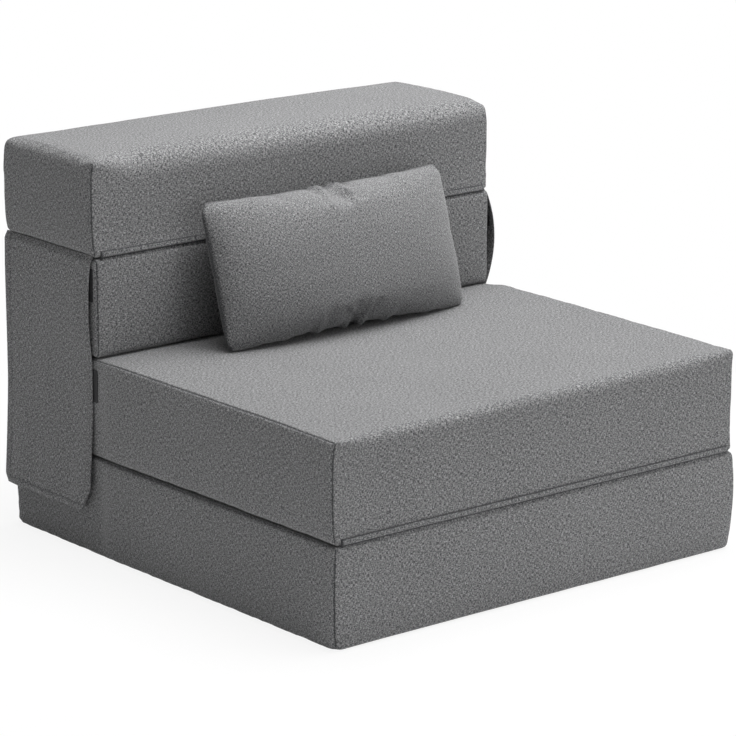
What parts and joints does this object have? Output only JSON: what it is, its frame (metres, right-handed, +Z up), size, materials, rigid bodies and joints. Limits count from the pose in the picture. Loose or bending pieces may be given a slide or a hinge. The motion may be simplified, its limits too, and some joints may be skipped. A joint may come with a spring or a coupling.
{
  "type": "convertible chair bed",
  "caption": "Foam chair that unfolds forwards into a flat bed, with zipped grey covers, cloth fold hinges, closing side flaps and a lumbar cushion.",
  "frame": {"origin": "centre of the footprint, on the floor", "axes": "+Z up, -Y towards the sitter's feet (the front), X along the width, with the part symmetric about X = 0 apart from the cushion"},
  "size_m": [0.7968, 0.7924, 0.6078],
  "materials": {
    "cover_cloth": "matte",
    "foam": "matte",
    "zip_cloth": "matte",
    "zip_coil": "satin",
    "zip_metal": "satin",
    "fold_cloth": "matte",
    "hook_tape": "matte",
    "loop_tape": "matte",
    "grip_cloth": "matte",
    "cushion_cloth": "matte",
    "fibre": "matte"
  },
  "bodies": {
    "base": {"base_cover": "cover_cloth", "base_core": "foam", "base_zipper_tape": "zip_cloth", "base_zipper_coil": "zip_coil", "base_grip_panel": "grip_cloth", "front_hinge_lower": "fold_cloth"},
    "seat": {"seat_cover": "cover_cloth", "seat_core": "foam", "seat_zipper_tape": "zip_cloth", "seat_zipper_coil": "zip_coil", "front_hinge_upper": "fold_cloth", "rear_hinge_lower": "fold_cloth", "left_lower_loop": "loop_tape", "right_lower_loop": "loop_tape"},
    "back_middle": {"back_middle_cover": "cover_cloth", "back_middle_core": "foam", "back_middle_zipper_tape": "zip_cloth", "back_middle_zipper_coil": "zip_coil", "rear_hinge_upper": "fold_cloth", "back_hinge_lower": "fold_cloth", "left_upper_loop": "loop_tape", "right_upper_loop": "loop_tape"},
    "back_top": {"back_top_cover": "cover_cloth", "back_top_core": "foam", "back_top_zipper_tape": "zip_cloth", "back_top_zipper_coil": "zip_coil", "back_hinge_upper": "fold_cloth"},
    "base_slider": {"base_zipper_slider": "zip_metal"},
    "seat_slider": {"seat_zipper_slider": "zip_metal"},
    "back_middle_slider": {"back_middle_zipper_slider": "zip_metal"},
    "back_top_slider": {"back_top_zipper_slider": "zip_metal"},
    "left_flap": {"left_flap": "cover_cloth", "left_flap_seam_strip": "cover_cloth", "left_upper_hook": "hook_tape", "left_lower_hook": "hook_tape"},
    "right_flap": {"right_flap": "cover_cloth", "right_flap_seam_strip": "cover_cloth", "right_upper_hook": "hook_tape", "right_lower_hook": "hook_tape"},
    "pillow": {"pillow_cover": "cushion_cloth", "pillow_filling": "fibre", "pillow_zipper_tape": "zip_cloth", "pillow_zipper_coil": "zip_coil"},
    "pillow_slider": {"pillow_zipper_slider": "zip_metal"}
  },
  "joints": [
    {"name": "seat_fold", "type": "hinge", "parent": "base", "child": "seat", "pos_m": [0, -0.3965, 0.1521], "axis": [1, 0, 0], "range_deg": [0, 180]},
    {"name": "rear_fold", "type": "hinge", "parent": "seat", "child": "back_middle", "pos_m": [0, 0.3965, 0.3041], "axis": [-1, 0, 0], "range_deg": [0, 180]},
    {"name": "back_fold", "type": "hinge", "parent": "back_middle", "child": "back_top", "pos_m": [0, 0.1655, 0.4561], "axis": [1, 0, 0], "range_deg": [0, 180]},
    {"name": "left_flap_swing", "type": "hinge", "parent": "back_top", "child": "left_flap", "pos_m": [-0.37487, 0, 0.45903], "axis": [0, 1, 0], "range_deg": [0, 110]},
    {"name": "right_flap_swing", "type": "hinge", "parent": "back_top", "child": "right_flap", "pos_m": [0.37487, 0, 0.45903], "axis": [0, -1, 0], "range_deg": [0, 110]},
    {"name": "pillow_lift", "type": "slide", "parent": "seat", "child": "pillow", "axis": [0, -0.3746, 0.9272], "range_m": [0, 0.4]},
    {"name": "pillow_zip", "type": "slide", "parent": "pillow", "child": "pillow_slider", "axis": [1, 0, 0], "range_m": [0, 0.3134]},
    {"name": "base_zip", "type": "slide", "parent": "base", "child": "base_slider", "axis": [1, 0, 0], "range_m": [0, 0.5734]},
    {"name": "seat_zip", "type": "slide", "parent": "seat", "child": "seat_slider", "axis": [1, 0, 0], "range_m": [0, 0.5734]},
    {"name": "back_middle_zip", "type": "slide", "parent": "back_middle", "child": "back_middle_slider", "axis": [1, 0, 0], "range_m": [0, 0.5734]},
    {"name": "back_top_zip", "type": "slide", "parent": "back_top", "child": "back_top_slider", "axis": [1, 0, 0], "range_m": [0, 0.5734]}
  ],
  "couplings": [
    {"joint": "rear_fold", "follows": "seat_fold", "ratio": 1},
    {"joint": "back_fold", "follows": "seat_fold", "ratio": 1}
  ]
}
